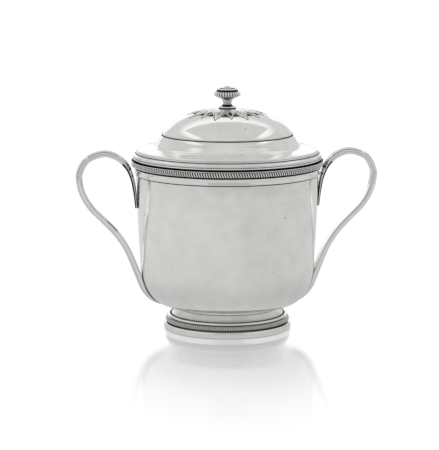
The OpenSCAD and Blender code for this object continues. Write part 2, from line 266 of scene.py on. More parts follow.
def bumped(tree, height, strength, depth, below=None):
    """A normal with one more layer of height over it."""
    node = add(tree, "ShaderNodeBump", Strength=strength, Distance=depth)
    link(tree, height, node.inputs["Height"])
    if below:
        link(tree, below, node.inputs["Normal"])
    return node.outputs["Normal"]


def silver(name, tone, polish, scratch, wave, pits, crevice=1.2 * MM):
    """Worn polished silver. tone is its brightness, polish its lowest roughness, scratch and
    wave the strength of its hairlines and of its hammered unevenness, and pits their share.
    Its colour is darkened with painted shade within crevice of other surfaces, and by each
    mesh's darkness values for tarnish, joints and painted shade."""
    material = bpy.data.materials.new(name)
    material.use_nodes = True
    tree = material.node_tree
    tree.nodes.clear()
    shader = add(tree, "ShaderNodeBsdfPrincipled", Metallic=1.0)
    output = tree.nodes.new("ShaderNodeOutputMaterial")
    link(tree, shader.outputs["BSDF"], output.inputs["Surface"])
    place = tree.nodes.new("ShaderNodeTexCoord").outputs["Object"]

    bright = (tone, tone * 0.995, tone * 0.98, 1)
    dull = (tone * 0.94, tone * 0.93, tone * 0.91, 1)
    mottle = noise_at(tree, place, 95, 5.0, distortion=0.4)
    cloud = ramp(tree, mottle, [(0.36, 0.0), (0.66, 1.0)])
    colour = mixed(tree, cloud, bright, dull)

    spots = pits_at(tree, place, 300, pits, 0.16)
    colour = mixed(tree, spots, colour, (0.13, 0.12, 0.12, 1))

    # Painted shade: the colour darkens to near black where other surfaces lie within crevice of it.
    crevice_shade = tree.nodes.new("ShaderNodeAmbientOcclusion")
    crevice_shade.samples = 8
    crevice_shade.inputs["Distance"].default_value = crevice
    open_air = ramp(tree, crevice_shade.outputs["AO"], [(0.10, 0.0), (0.62, 1.0)])
    colour = mixed(tree, open_air, (0.045, 0.043, 0.04, 1), colour)

    # Tarnish, joints and painted shade from the mesh's darkness attribute, broken up by fine noise,
    # darken the colour to near black and roughen it.
    shade_and_grime_node = tree.nodes.new("ShaderNodeAttribute")
    shade_and_grime_node.attribute_name = "grime_and_shade"
    patchy = noise_at(tree, place, 1400, 2.0)
    edge = mixed(tree, 0.25, shade_and_grime_node.outputs["Fac"], patchy, "OVERLAY")
    darkening = ramp(tree, edge, [(0.2, 0.0), (0.75, 1.0)])
    colour = mixed(tree, darkening, colour, (0.022, 0.021, 0.02, 1))
    link(tree, colour, shader.inputs["Base Color"])

    fine = noise_at(tree, place, 700, 4.0)
    haze = mixed(tree, 0.45, cloud, fine)
    dulled = ramp(tree, haze, [(0.2, float(polish)), (0.8, float(polish + 0.10))])
    rough = mixed(tree, darkening, dulled, (0.5, 0.5, 0.5, 1))
    link(tree, rough, shader.inputs["Roughness"])

    hair = noise_at(tree, place, 260, 3.0, stretch=(1, 1, 14))
    cross = noise_at(tree, place, 260, 3.0, stretch=(11, 9, 1))
    lines = mixed(tree, 0.5, hair, cross)
    hammered = noise_at(tree, place, 120, 2.0)
    normal = bumped(tree, hammered, wave, 0.10 * MM)
    normal = bumped(tree, lines, scratch, 0.012 * MM, normal)
    normal = bumped(tree, spots, 0.6, -0.08 * MM, normal)
    link(tree, normal, shader.inputs["Normal"])
    return material


SHEET = silver("raised_sheet_silver", 0.93, 0.075, 0.60, 0.16, 0.05, 0.7 * MM)
FOOT = silver("satin_foot_silver", 0.98, 0.27, 0.45, 0.12, 0.03, 0.4 * MM)
DOME = silver("burnished_lid_silver", 0.95, 0.045, 0.40, 0.14, 0.02, 0.4 * MM)
WIRE = silver("drawn_wire_silver", 0.96, 0.08, 0.35, 0.10, 0.02, 0.35 * MM)
STRAP = silver("strap_silver", 0.94, 0.09, 0.45, 0.18, 0.03)
CAST = silver("chased_cast_silver", 0.94, 0.12, 0.50, 0.22, 0.06, 0.9 * MM)
HIDDEN = silver("unpolished_fixing_silver", 0.86, 0.22, 0.8, 0.3, 0.1)


# ---- the bowl's own line, which the shell and the handles share ----

def side_radius(z):
    """Outer radius between the turn and the rim."""
    return BOWL_R - (BOWL_R - TURN_R) * ((BAND_Z - z) / (BAND_Z - TURN_Z)) ** 1.6


def turn_point(a):
    """A point on the rounded turn: a is 0 at its top and a quarter turn at the base."""
    return (BASE_R + (TURN_R - BASE_R) * max(math.cos(a), 0) ** 0.79,
            TURN_Z - (TURN_Z - BASE_Z) * max(math.sin(a), 0) ** 0.87)


def bowl_line():
    """The outside of the bowl from the middle of its base to its lip."""
    floor = [(BASE_R * i / 6, BASE_Z) for i in range(6)]
    turn = [turn_point(math.pi / 2 * (1 - i / 44)) for i in range(45)]
    heights = [TURN_Z + (BAND_Z - TURN_Z) * i / 40 for i in range(1, 40)] + [BAND_Z]
    side = [(side_radius(z), z) for z in heights]
    close = [BAND_Z - gap * MM for gap in (0.7, 0.5, 0.35, 0.2)]
    side[-1:-1] = [(side_radius(z), z) for z in close]
    rim = [(BOWL_R, BAND_Z + (LIP_Z - BAND_Z) * i / 24) for i in range(1, 23)]
    return floor + turn + side + rim


def bowl_shell():
    """The raised bowl, with soft dents and a rounded lip. Tarnish and painted shade darken it where
    the wires meet it, and painted shadow of the lid darkens its lip and the wall above the rim
    wire.
    """
    line = bowl_line()
    lip = arc((BOWL_R - WALL / 2, LIP_Z - WALL / 2), WALL / 2, 0, 180, 8)
    inside = inner_line(line, WALL)
    inside[0] = (0.0, BASE_Z + WALL)
    count = len(line)

    def relief(r, z, grime_and_shade, angle, k):
        worked = ease((r - 0.6 * BASE_R) / BASE_R) * ease((BAND_Z - z) / (4 * MM))
        r -= worked * abs(dents(r, z, angle, 17 * MM, 0.10 * MM))
        if k < count:
            # Tarnish and painted shade in the groove between band and rope and under the band;
            # painted shadow of the lid's overhang from the rim wire up.
            groove = ease(2.2 - abs(z - (BAND_TOP_Z + ROPE_Z) / 2) / (0.3 * MM))
            under_band = ease((z - BAND_Z + 0.65 * MM) / (0.2 * MM))
            lid_shadow = ease((z - RIM_TOP_Z + 0.3 * MM) / (0.2 * MM))
            grime_and_shade = max(groove, under_band * ease((BAND_Z + MM - z) / MM), lid_shadow)
        return r, z, grime_and_shade

    # The outer top of the lip is painted dark as shadow under the lid.
    outline = clean(line) + clean(lip[:3], 1.0) + clean(lip[3:] + inside[::-1])
    mesh_piece("bowl_body", *turned(outline, 384, relief), SHEET, "bowl", "silver_sheet",
               ["bowl_shell"])


# ---- twisted wires and mouldings ----

FACE_STEPS = 14


def half_round(back_r, low_z, out_r, top_z, steps):
    """Outline of a round-faced wire on a cylinder, with the angle of each point on its face."""
    high = (top_z - low_z) / 2
    face_r = max(out_r - high, back_r + 0.05 * MM)
    angles = [math.pi * (i / steps - 0.5) for i in range(steps + 1)]
    face = [(face_r + (out_r - face_r) * math.cos(a), low_z + high * (1 + math.sin(a)))
            for a in angles]
    return [(back_r, low_z)] + face + [(back_r, top_z)], [-math.pi / 2] + angles + [math.pi / 2]


def twisted_wire(name, node, body_r, sizes, strands, lay, depth, spread):
    """A wire rope round a cylinder, its sizes as span() gives them. lay is how many strands a
    line over its face crosses. The smaller spread is, the further up and down the face the
    furrows between the strands reach, which are depth deep."""
    low_z, top_z, out_r = sizes
    outline, angles = half_round(body_r, low_z, out_r - 0.02 * MM, top_z, FACE_STEPS)

    def relief(r, z, grime_and_shade, angle, k):
        phase = strands * angle + lay * angles[k] * 2
        valley = 1 - abs(math.cos(phase / 2))
        reach = math.cos(angles[k]) ** spread
        cut = depth * valley * reach
        # Tarnish and painted shade in the furrows between strands, painted shade on the underside,
        # and painted shade on the back points that meet the body.
        underside = ease((-0.82 - math.sin(angles[k])) / 0.15)
        furrow = max(ease((valley - 0.16) / 0.26) * reach, underside)
        hidden = 0.0 if 0 < k < len(outline) - 1 else 1.0
        inward = math.cos(angles[k])
        return r - cut * inward, z - cut * math.sin(angles[k]) * 0.6, max(furrow, hidden)

    parts = turned([(r, z, 0.0) for r, z in outline], strands * 10, relief)
    mesh_piece(name, *parts, WIRE, "bowl", "silver_wire", [node])


def ring(name, outline, material, body, slot, nodes, segments=320, relief=None):
    """A plain turned ring."""
    mesh_piece(name, *turned(outline, segments, relief), material, body, slot, nodes)


def rim_mouldings():
    """The flat wire over the twisted rim wire, the rope itself and the two reeds below it."""
    edge = (RIM_TOP_Z - RIM_Z) / 2
    face = arc((RIM_R - edge - 0.02 * MM, RIM_Z + edge), edge, -90, 90, 8)
    # The flat wire's top next to the wall is painted dark as shadow of the lid's overhang.
    flat = clean([(BOWL_R, RIM_Z)] + face[:7]) + clean(face[7:], 0.9)
    ring("rim_flat_wire", flat + [(BOWL_R, RIM_TOP_Z, 1.0)], WIRE, "bowl", "silver_wire",
         ["rim_top_wire"])
    twisted_wire("rim_twisted_wire", "rim_rope", BOWL_R, (ROPE_Z, ROPE_TOP_Z, ROPE_R),
                 237, 1.1, 0.52 * MM, 0.7)
    upper, lower = 0.45 * MM, 0.32 * MM
    hollow_r = BAND_R - upper
    low_reed = arc((hollow_r - 0.15 * MM, BAND_Z + lower), lower, -90, 62, 9)
    hollow = (hollow_r - 0.2 * MM, (BAND_Z + BAND_TOP_Z) / 2)
    high_reed = arc((hollow_r, BAND_TOP_Z - upper), upper, -62, 90, 10)
    curve = smooth_line([low_reed[-1], hollow, high_reed[0]], 6)[1:-1]
    # The band's back points against the wall are painted dark as shade where it meets the bowl.
    outline = [(BOWL_R, BAND_Z, 1.0)] + clean(low_reed) + clean(curve) + clean(high_reed)
    ring("rim_reeded_band", outline + [(BOWL_R, BAND_TOP_Z, 1.0)], WIRE, "bowl", "silver_wire",
         ["rim_band"])


# ---- foot ----

def foot_neck_line():
    """The outside of the foot from inside the plinth up to the base of the bowl."""
    steps = 24
    neck = [(DRUM_R - (DRUM_R - WAIST_R) * (i / steps) ** 0.45,
             FILLET_TOP_Z + (NECK_Z - FILLET_TOP_Z) * i / steps) for i in range(steps + 1)]
    drum = [(DRUM_R, DRUM_Z + (FILLET_TOP_Z - DRUM_Z) * i / 10) for i in range(10)]
    return drum + neck + [(WAIST_R, BASE_Z)]


def foot_drum():
    """The hollow foot, darkened with tarnish and painted shade in the grooves between the mouldings
    and where the fillet and neck wire meet it.
    """
    line = foot_neck_line()
    grooves = [(FOOT_ROPE_TOP_Z + FILLET_Z) / 2, (PLINTH_TOP_Z + FOOT_ROPE_Z) / 2]

    def relief(r, z, grime_and_shade, angle, k):
        if k < len(line):
            # Tarnish and painted shade in the grooves and along the fillet and the neck wire.
            groove_darkening = [bell(z - g, 0.35 * MM) for g in grooves]
            groove_darkening += [bell(z - FILLET_TOP_Z, 0.3 * MM), 0.9 * bell(z - NECK_Z, 0.25 * MM)]
            grime_and_shade = max(groove_darkening)
        return r - abs(dents(r, z, angle, 9 * MM, 0.03 * MM)), z, grime_and_shade

    outline = clean(line + inner_line(line, WALL)[::-1])
    ring("foot_neck_and_drum", outline, FOOT, "bowl", "silver_sheet", ["foot_drum"], 320, relief)


def foot_mouldings():
    """The neck wire, the plain fillet and the twisted wire of the foot."""
    bead = half_round(WAIST_R, NECK_Z, NECK_R, NECK_TOP_Z, FACE_STEPS)[0]
    ring("foot_neck_bead", clean(bead), FOOT, "bowl", "silver_wire", ["foot_neck_wire"])
    fillet = half_round(DRUM_R, FILLET_Z, FILLET_R, FILLET_TOP_Z, FACE_STEPS)[0]
    ring("foot_plain_fillet", clean(fillet), WIRE, "bowl", "silver_wire", ["foot_fillet"])
    twisted_wire("foot_twisted_wire", "foot_rope", DRUM_R,
                 (FOOT_ROPE_Z, FOOT_ROPE_TOP_Z, FOOT_ROPE_R), 164, 1.0, 0.44 * MM, 0.25)


def foot_plinth():
    """The ring that the bowl stands on, with a bright top arris and a soldered butt joint."""
    arris = 0.5 * MM
    low = 0.6 * MM
    face = arc((PLINTH_R - low, low), low, -90, 0, 6)
    top = arc((PLINTH_R - arris - 0.12 * MM, PLINTH_TOP_Z - arris), arris, 12, 90, 8)
    outline = [(DRUM_R, PLINTH_Z)] + face + top + [(DRUM_R, PLINTH_TOP_Z)]

    def relief(r, z, grime_and_shade, angle, k):
        off = (angle - (FRONT % FULL)) * PLINTH_R
        seam = bell(off, 0.30 * MM) * ease((PLINTH_TOP_Z - z) / (0.6 * MM))
        if r > DRUM_R + 0.5 * MM:
            r -= 0.14 * MM * seam + abs(dents(r, z, angle, 8 * MM, 0.03 * MM))
        return r, z, max(grime_and_shade, 0.3 * seam)

    ring("foot_base_ring", clean(outline), SHEET, "bowl", "silver_sheet", ["foot_plinth"], 720,
         relief)


# ---- handles ----

# Shares of the handle's reach and of the bowl's height, from the tongue round to the tail
LOOP = [(0.073, 0.857), (0.158, 0.939), (0.329, 1.005), (0.574, 1.032), (0.853, 0.993),
        (0.989, 0.906), (0.989, 0.820), (0.916, 0.736), (0.778, 0.655), (0.572, 0.575),
        (0.378, 0.496), (0.225, 0.4125), (0.125, 0.3366)]
TONGUE = [(0.660, 0.0), (0.720, 0.0), (0.785, 0.35 * MM)]
SOLDER = 0.05 * MM


def tongue_stations():
    """The thin upper end, flat on the wall and springing away from it under the rim."""
    stations = []
    for i, (share, lift) in enumerate(TONGUE):
        z = BASE_Z + share * (LIP_Z - BASE_Z)
        thick = 1.2 * MM + i * (HANDLE_T - 1.2 * MM) / 8
        stations.append((side_radius(z) + SOLDER + lift + thick / 2, z, thick))
    return stations


def tail_stations():
    """The lower end, which lies along the turn of the bowl and thins out."""
    steps = 8
    stations = []
    for i in range(steps + 1):
        a = math.radians(16 + 60 * i / steps)
        before, after = turn_point(a - 0.01), turn_point(a + 0.01)
        out = Vector((before[1] - after[1], after[0] - before[0])).normalized()
        thick = 0.5 * MM + (HANDLE_T - 0.5 * MM) * (1 - i / steps) ** 0.7
        gap = SOLDER + (0.3 * MM if i == 0 else 0) + thick / 2
        r, z = turn_point(a)
        stations.append((r + out.x * gap, z + out.y * gap, thick))
    return stations


def strap_line():
    """Centre radius, height and thickness along the whole strap."""
    reach = HANDLE_OUT - HANDLE_T / 2
    thin = {0: 0.61, 1: 0.83}
    loop = [(BOWL_R + out * reach, BASE_Z + up * (LIP_Z - BASE_Z), HANDLE_T * thin.get(i, 1))
            for i, (out, up) in enumerate(LOOP)]
    return smooth_line(tongue_stations() + loop + tail_stations(), 8)


def strap_section():
    """Half of the strap's section as (across, outwards, darkness) shares: a flat back with a
    rounded edge, an edge reed, a furrow darkened with tarnish and painted shade, and half of
    the crowned middle reed."""
    back = [(0.0, 0.02, 0.0), (0.22, 0.0, 0.0), (0.40, 0.01, 0.0), (0.47, 0.08, 0.0)]
    reed = [(0.498, 0.22, 0.0), (0.5, 0.40, 0.0), (0.485, 0.56, 0.0), (0.44, 0.68, 0.0),
            (0.385, 0.68, 0.0), (0.345, 0.60, 0.5)]
    crown = [(0.325, 0.56, 1.0), (0.30, 0.66, 0.8), (0.27, 0.78, 0.3), (0.18, 0.93, 0.0),
             (0.08, 0.99, 0.0), (0.0, 1.0, 0.0)]
    return back + reed + crown


TONGUE_STEPS = 36
JOINT_Z = 58.0 * MM


def handle_shade_and_joint(i, across, up, r, z, side):
    """Painted shade on the tongue's back and edges where it lies against the wall, and a dark old
    solder joint on the left handle's back edge.
    """
    if i < TONGUE_STEPS:
        # Painted shade behind the tongue, next to the wall.
        return ease((0.42 - up) / 0.15) * ease((ROPE_TOP_Z + 2 * MM - z) / (3 * MM))
    if side < 0 and up < 0.12 and across > 0.4 and r > BOWL_R + 8 * MM:
        return ease(1.6 - abs(z - JOINT_Z) / (2.6 * MM))
    return 0.0


def handle(name, node, side):
    """One looped strap. side is 1 on the right and -1 on the left."""
    half = smooth_line(strap_section(), 3)
    section = half + [(-a, o, g) for a, o, g in half[-2:0:-1]]
    line = strap_line()
    last, taper = len(line) - 1, 13  # taper is how many steps each end takes to round off
    points, grime_and_shade = [], []
    for i, (r, z, thick) in enumerate(line):
        before, after = line[max(i - 1, 0)], line[min(i + 1, last)]
        along = Vector((after[0] - before[0], after[1] - before[1])).normalized()
        out = Vector((-along.y, along.x))
        near = min(i, last - i) / taper
        width = HANDLE_W * (1 if near >= 1 else math.sqrt(1 - (0.85 * (1 - near)) ** 2))
        for across, up, darkening in section:
            lift = thick * (up - 0.5)
            r_here, z_here = r + out.x * lift, z + out.y * lift
            uneven = 1 + 0.006 * noise.noise(Vector((across * 3, i * 0.09, 4.0 + side)))
            points.append((side * r_here, side * across * width * uneven, z_here))
            grime_and_shade.append(max(darkening, handle_shade_and_joint(i, across, up, r_here, z_here, side)))
    faces = grid_faces(len(line), len(section), False, True)
    count = len(section)
    faces += [tuple(range(count)), tuple(last * count + k for k in range(count))]
    mesh_piece(name, points, faces, grime_and_shade, STRAP, "bowl", "silver_strap", [node])


# ---- lid ----

# The dome's curve runs on to a foot below its lip, which the lip hides
DOME_FOOT_Z = DOME_Z - 5.9 * MM
DOME_FOOT_R = DOME_R + 1.05 * MM
LEAF_GROUND_R = 19.6 * MM


def dome_height(r):
    """Height of the dome's outside at a radius."""
    rise = math.sqrt(max(1 - (r / DOME_FOOT_R) ** 2, 0)) ** 0.9
    return DOME_FOOT_Z + (DOME_TOP_Z - DOME_FOOT_Z) * rise


def lid_dome():
    """The raised dome with its overhanging lip, painted dark as shade under the lip and on the
    ground between and under the leaves.
    """
    hole = STUD_R + 0.15 * MM
    lip_r, lip_h = 0.22 * MM, 0.6 * MM
    steps = 84
    start = math.asin((DOME_R - 0.15 * MM) / DOME_FOOT_R)
    radii = [DOME_FOOT_R * math.sin(start * (1 - i / steps)) for i in range(steps)]
    radii = [r for r in radii if r > hole] + [hole]
    skin = [(r, dome_height(r)) for r in radii]
    lip = arc((DOME_R - lip_r, DOME_Z + lip_r), lip_r, -100, 0, 5)
    lip += [(DOME_R, DOME_Z + lip_h * 0.7)]
    inside = [(r - 0.35 * MM, z - WALL) for r, z in skin[::-1]]
    inside[0] = (hole, inside[0][1])

    def relief(r, z, grime_and_shade, angle, k):
        # Painted shade on the dome's face between and under the leaves.
        ground = ease((LEAF_GROUND_R - r) / MM) if k < len(lip) + len(skin) else 0.0
        worked = ease((DOME_R - r) / (3 * MM))
        z -= worked * abs(dents(r, z, angle, 14 * MM, 0.05 * MM))
        return r, z, max(grime_and_shade, ground)

    # The lip's underside and the inner edge are painted dark as shade.
    outline = clean(lip[:2], 1.0) + clean(lip[2:] + skin + inside)
    outline.append((DOME_R - WALL, DOME_Z, 1.0))
    ring("lid_raised_dome", outline, DOME, "lid", "silver_sheet", ["lid_dome"], 384, relief)


# Millimetres outside the dome's lip and shares of the height from the edge moulding to it
BRIM = [(10.15, 0.052), (7.15, 0.099), (4.85, 0.160), (3.70, 0.25), (2.85, 0.407),
        (2.05, 0.570), (1.25, 0.756), (0.40, 0.907), (-0.40, 1.0)]
PINHOLE = Vector((-3.3 * MM, -45.6 * MM))


def brim_line():
    """The outside of the lid from its edge moulding up to the dome."""
    high = DOME_Z - EDGE_TOP_Z
    slope = [(DOME_R + out * MM, EDGE_TOP_Z + up * high) for out, up in BRIM]
    return smooth_line([(BRIM_R, EDGE_TOP_Z)] + slope, 8)


def lid_brim():
    """The drum below the dome and the sloping brim, in one sheet, painted dark as shadow just under
    the dome's lip, with a small pinhole shown as a dark spot.
    """
    line = brim_line()
    inside = [(r - 0.4 * WALL, z - 0.92 * WALL) for r, z in line]
    inside[0] = (line[0][0], line[0][1] - 1.05 * WALL)
    inside[-1] = (line[-1][0] - WALL, line[-1][1])

    def relief(r, z, grime_and_shade, angle, k):
        worked = ease((BRIM_R - r) / (2 * MM)) * ease((DOME_Z - z) / MM)
        z -= worked * abs(dents(r, z, angle, 15 * MM, 0.045 * MM))
        if k < len(line):
            # Painted shadow on the drum just under the dome's lip; the pinhole is a dark spot.
            under_lip_shadow = ease((z - (DOME_Z - 0.80 * MM)) / (0.2 * MM))
            off = Vector((r * math.cos(angle), r * math.sin(angle))) - PINHOLE
            grime_and_shade = max(under_lip_shadow, bell(off.length, 0.5 * MM))
        return r, z, grime_and_shade

    outline = clean(line + inside[::-1])
    ring("lid_drum_and_brim", outline, DOME, "lid", "silver_sheet", ["lid_brim"], 384, relief)


def lid_edge():
    """A stack of reeds that steps down and outwards to the lid's edge."""
    low, mid, small = 0.5 * MM, 0.55 * MM, 0.35 * MM
    low_r, low_z = EDGE_R - low, LIP_Z + low - 0.9 * MM
    low_reed = arc((low_r, low_z), low, -90, 62, 9)
    mid_reed = arc((EDGE_R - mid - 0.25 * MM, LIP_Z + 1.2 * MM), mid, -62, 78, 9)
    small_reed = arc((EDGE_R - 2.0 * MM, LIP_Z + 2.9 * MM), small, -32, 100, 7)
    top = EDGE_TOP_Z - 0.1 * MM
    ledge = smooth_line([(BRIM_R + 0.9 * MM, top - 0.45 * MM), (BRIM_R + 0.75 * MM, top),
                         (BRIM_R + 0.35 * MM, top + 0.2 * MM), (BRIM_R, top + 0.1 * MM)], 4)
    # The underside is painted dark as the lid's own shadow, and the grooves between the reeds get
    # painted shade.
    seam = [(r, z, 0.9) for r, z in (low_reed[-1], small_reed[0])]
    under = [(BRIM_R, LIP_Z), (low_r - 0.8 * MM, LIP_Z), (low_r - 0.55 * MM, low_z - 0.2 * MM)]
    outline = clean(under + low_reed[:3], 1.0)
    outline += clean(low_reed[3:-1]) + seam[:1] + clean(mid_reed)
    outline += seam[1:] + clean(small_reed[1:-1]) + [(*small_reed[-1], 0.7)] + clean(ledge)
    ring("lid_reeded_edge", outline, WIRE, "lid", "silver_wire", ["lid_edge_wire"])


# ---- leaves ----

LEAVES = 16
LEAF_REACH = 23.3 * MM
LEAF_T = 0.5 * MM
LEAF_ROOT = 4.0 * MM
LEAF_SHADOW_BORDER = 0.38 * MM


def leaf_reach(broad):
    """How far from the axis the tip of a leaf is."""
    return LEAF_REACH if broad else 0.94 * LEAF_REACH


def leaf_half_width(u, broad):
    """Half the width of a leaf, u from 0 at its root to 1 at its tip."""
    reach = leaf_reach(broad)
    widest = reach * math.tan(math.pi / LEAVES) * (0.76 if broad else 0.56)
    swell = math.sin(math.pi * min(u, 1) ** (0.95 if broad else 1.25))
    point = (1 - u) ** 0.35
    return max(widest * (0.30 * (1 - u) + 0.98 * swell ** 0.75) * min(point * 1.25, 1), 0.03 * MM)


def leaf_relief(u, v, broad):
    """Height of the chased face and how dark it is painted in its cut lines and the narrow leaf's
    hollow, with tarnish and painted shade, v from -1 to 1 across the leaf.
    """
    across = abs(v)
    border = bell(across - 0.93, 0.09)
    line = bell(across - 0.74, 0.075) * ease(u / 0.2)
    if broad:
        vein = bell(v, 0.07) * ease((u - 0.12) / 0.1) * ease((0.93 - u) / 0.1)
        barbs = max(bell(u - 0.42 - 0.16 * k - 0.16 * across, 0.022) for k in range(3))
        barbs *= ease((across - 0.12) / 0.1) * ease((0.62 - across) / 0.1)
        cut = max(line, vein, 0.85 * barbs)
        return 0.10 * border + 0.30 * (1 - across ** 2) - 0.30 * cut, cut
    # The narrow leaf's hollow is painted dark as shade.
    hollow = ease((1 - across / 0.60 - abs(u - 0.66) / 0.26) / 0.22)
    cut = max(hollow, 0.7 * line * ease((0.5 - u) / 0.2))
    return 0.20 * border + 0.12 * (1 - across) - 0.55 * cut, cut


def leaf(points, faces, grime_and_shade, angle, broad):
    """One leaf with a flat border painted dark as its shadow on the dome, laid on the dome."""
    rows, columns, border = 30, 23, LEAF_SHADOW_BORDER
    reach = leaf_reach(broad)
    first = len(points)
    for i in range(rows + 2):
        u = min(i / rows, 1)
        half = leaf_half_width(u, broad)
        r = LEAF_ROOT + (reach - LEAF_ROOT) * u + (border if i > rows else 0)
        for j in range(-2, columns + 3):
            v = 2 * min(max(j, 0), columns) / columns - 1
            beyond = border if j in (-2, columns + 2) else 0
            x, y = r, v * (half + beyond)
            ground = dome_height(math.hypot(x, y)) + 0.03 * MM
            raised, darkening = leaf_relief(u, v, broad)
            height = LEAF_T * (0.30 + 0.6 * raised) * (1 - 0.75 * u ** 3)
            edge = i > rows or j < 0 or j > columns
            z = ground if edge else ground + height
            points.append((x * math.cos(angle) - y * math.sin(angle),
                           x * math.sin(angle) + y * math.cos(angle), z))
            # The border is painted shadow; the face darkens in its cut lines with tarnish and
            # painted shade.
            grime_and_shade.append(1.0 if edge else darkening)
    wide, last = columns + 5, rows + 1
    faces += [tuple(first + k for k in face) for face in grid_faces(last + 1, wide, False, False)]
    faces.append(tuple(first + k for k in range(wide)))
    faces.append(tuple(first + last * wide + k for k in range(wide)))
    faces += [(first + i * wide, first + (i + 1) * wide, first + (i + 2) * wide - 1,
               first + (i + 1) * wide - 1) for i in range(last)]


def leaf_rosette():
    """Broad and narrow leaves in turn, the narrow ones along the axes."""
    points, faces, grime_and_shade = [], [], []
    for i in range(LEAVES):
        leaf(points, faces, grime_and_shade, FULL * i / LEAVES, i % 2 == 1)
    mesh_piece("chased_leaf_rosette", points, faces, grime_and_shade, CAST, "lid", "silver_cast",
               ["leaf_rosette"])


# ---- finial ----

def closed_on_stud(line):
    """The outline of a solid round the stud, closed along the stud's own radius."""
    return [(STUD_R, line[0][1])] + line + [(STUD_R, line[-1][1])]


def finial_collar():
    """A bright rounded disc with a small cone on it painted dark as the shadow at the stem's foot,
    and painted shadow under the disc where the leaves root.
    """
    edge = 0.34 * MM
    disc_z = COLLAR_TOP_Z - 1.15 * MM
    disc = [(COLLAR_R - 0.5 * MM, COLLAR_Z), (COLLAR_R - 0.45 * MM, disc_z - 2 * edge - 0.1 * MM)]
    disc += arc((COLLAR_R - edge, disc_z - edge), edge, -90, 80, 8)
    shadow_cone = smooth_line([(STEM_R + 0.1 * MM, disc_z + 0.05 * MM), (2.75 * MM, disc_z + 0.5 * MM),
                        (2.42 * MM, COLLAR_TOP_Z)], 5)
    # The disc's underside and the cone are painted dark as shadow.
    outline = clean(disc[:3], 1.0) + clean(disc[3:]) + [(3.9 * MM, disc_z, 0.2)] + clean(shadow_cone, 0.95)
    outline = [(STUD_R, COLLAR_Z, 1.0)] + outline + [(STUD_R, COLLAR_TOP_Z, 1.0)]
    ring("finial_disc_and_cone", outline, CAST, "lid", "silver_cast", ["finial_collar"], 96)


def finial_stem():
    """A waisted stem with chased upright lines."""
    steps = 16
    line = [(2.3 * MM + (STEM_R - 2.3 * MM) * (i / steps) ** 2.6,
             STEM_Z + (STEM_TOP_Z - STEM_Z) * i / steps) for i in range(steps + 1)]

    def relief(r, z, grime_and_shade, angle, k):
        if r < 1.5 * MM:
            return r, z, 0.0
        height = (z - STEM_Z) / (STEM_TOP_Z - STEM_Z)
        valley = 1 - abs(math.cos(11 * angle + 2.2 * height))
        ringed = bell(height - 0.12, 0.07) + bell(height - 0.30, 0.05)
        # The chased lines and rings are darkened with tarnish and painted shade.
        cut = max(0.6 * ease(valley * 1.3) * ease((height - 0.3) / 0.15), 0.7 * min(ringed, 1))
        return r - 0.16 * MM * cut, z, cut

    ring("finial_waisted_stem", clean(closed_on_stud(line)), CAST, "lid", "silver_cast",
         ["finial_stem"], 176, relief)


def finial_button():
    """A flattened knob with upright reeds between furrows darkened with tarnish and painted shade,
    a step painted dark as shade under its top, and a bright ring on top.
    """
    high = BUTTON_TOP_Z - BUTTON_Z
    shares = [(0.0, 0.0), (0.48, 0.0), (0.68, 0.13), (0.92, 0.29), (0.995, 0.42), (1.0, 0.52),
              (0.975, 0.64), (0.92, 0.75), (0.885, 0.80)]
    body = smooth_line([(BUTTON_R * a, BUTTON_Z + high * b) for a, b in shares], 5)
    top = [(BUTTON_R * 0.80, BUTTON_Z + high * 0.83), (BUTTON_R * 0.78, BUTTON_TOP_Z - 0.05 * MM)]
    crown = [(BUTTON_R * 0.66, BUTTON_TOP_Z), (0.0, BUTTON_TOP_Z)]
    reeds = 28

    def relief(r, z, grime_and_shade, angle, k):
        share = (z - BUTTON_Z) / high
        if k >= len(body) or r < 0.45 * BUTTON_R:
            return r, z, grime_and_shade
        reach = ease((share - 0.06) / 0.16) * ease((0.84 - share) / 0.08)
        valley = 1 - abs(math.cos(reeds * angle / 2))
        cut = reach * valley
        # Tarnish and painted shade in the furrows.
        return r * (1 - 0.10 * cut), z, max(grime_and_shade, ease((valley - 0.35) / 0.45) * reach)

    # The step below the top is painted dark as shade.
    outline = clean(body) + clean(top, 1.0) + clean(crown)
    ring("finial_reeded_button", outline, CAST, "lid", "silver_cast", ["finial_button"],
         reeds * 12, relief)


def finial_cap():
    """A rounded ring dished inside, and the crowning bead, lightly knurled."""
    bead_r = 2.1 * MM
    tube = 0.45 * MM
    seat_z = CAP_Z + 0.21 * (CAP_TOP_Z - CAP_Z)
    seat = [(0.0, CAP_Z), (CAP_R - 0.3 * MM, CAP_Z)]
    seat += arc((CAP_R - tube, CAP_Z + 0.35 * MM), tube, -50, 150, 10)
    seat += [(CAP_R - 1.1 * MM, seat_z)]
    steps = 12
    bead = [(bead_r * math.cos(math.pi / 2 * i / steps),
             seat_z + (CAP_TOP_Z - seat_z) * math.sin(math.pi / 2 * i / steps))
            for i in range(steps + 1)]
    bead[-1] = (0.0, bead[-1][1])

    def relief(r, z, grime_and_shade, angle, k):
        if k < len(seat) + 1:
            return r, z, grime_and_shade
        share = (z - seat_z) / (CAP_TOP_Z - seat_z)
        valley = 1 - abs(math.cos(7 * angle))
        cut = valley * ease((0.95 - share) / 0.3)
        # Tarnish and painted shade in the knurling's valleys.
        return r * (1 - 0.10 * cut), z, max(grime_and_shade, 0.8 * ease((cut - 0.4) / 0.4))

    # The bead's foot is painted dark as shade.
    outline = clean(seat[:-1]) + clean(seat[-1:] + [(bead_r + 0.2 * MM, seat_z)], 1.0) + clean(bead)
    ring("finial_crown_bead", outline, CAST, "lid", "silver_cast", ["finial_cap"], 140, relief)


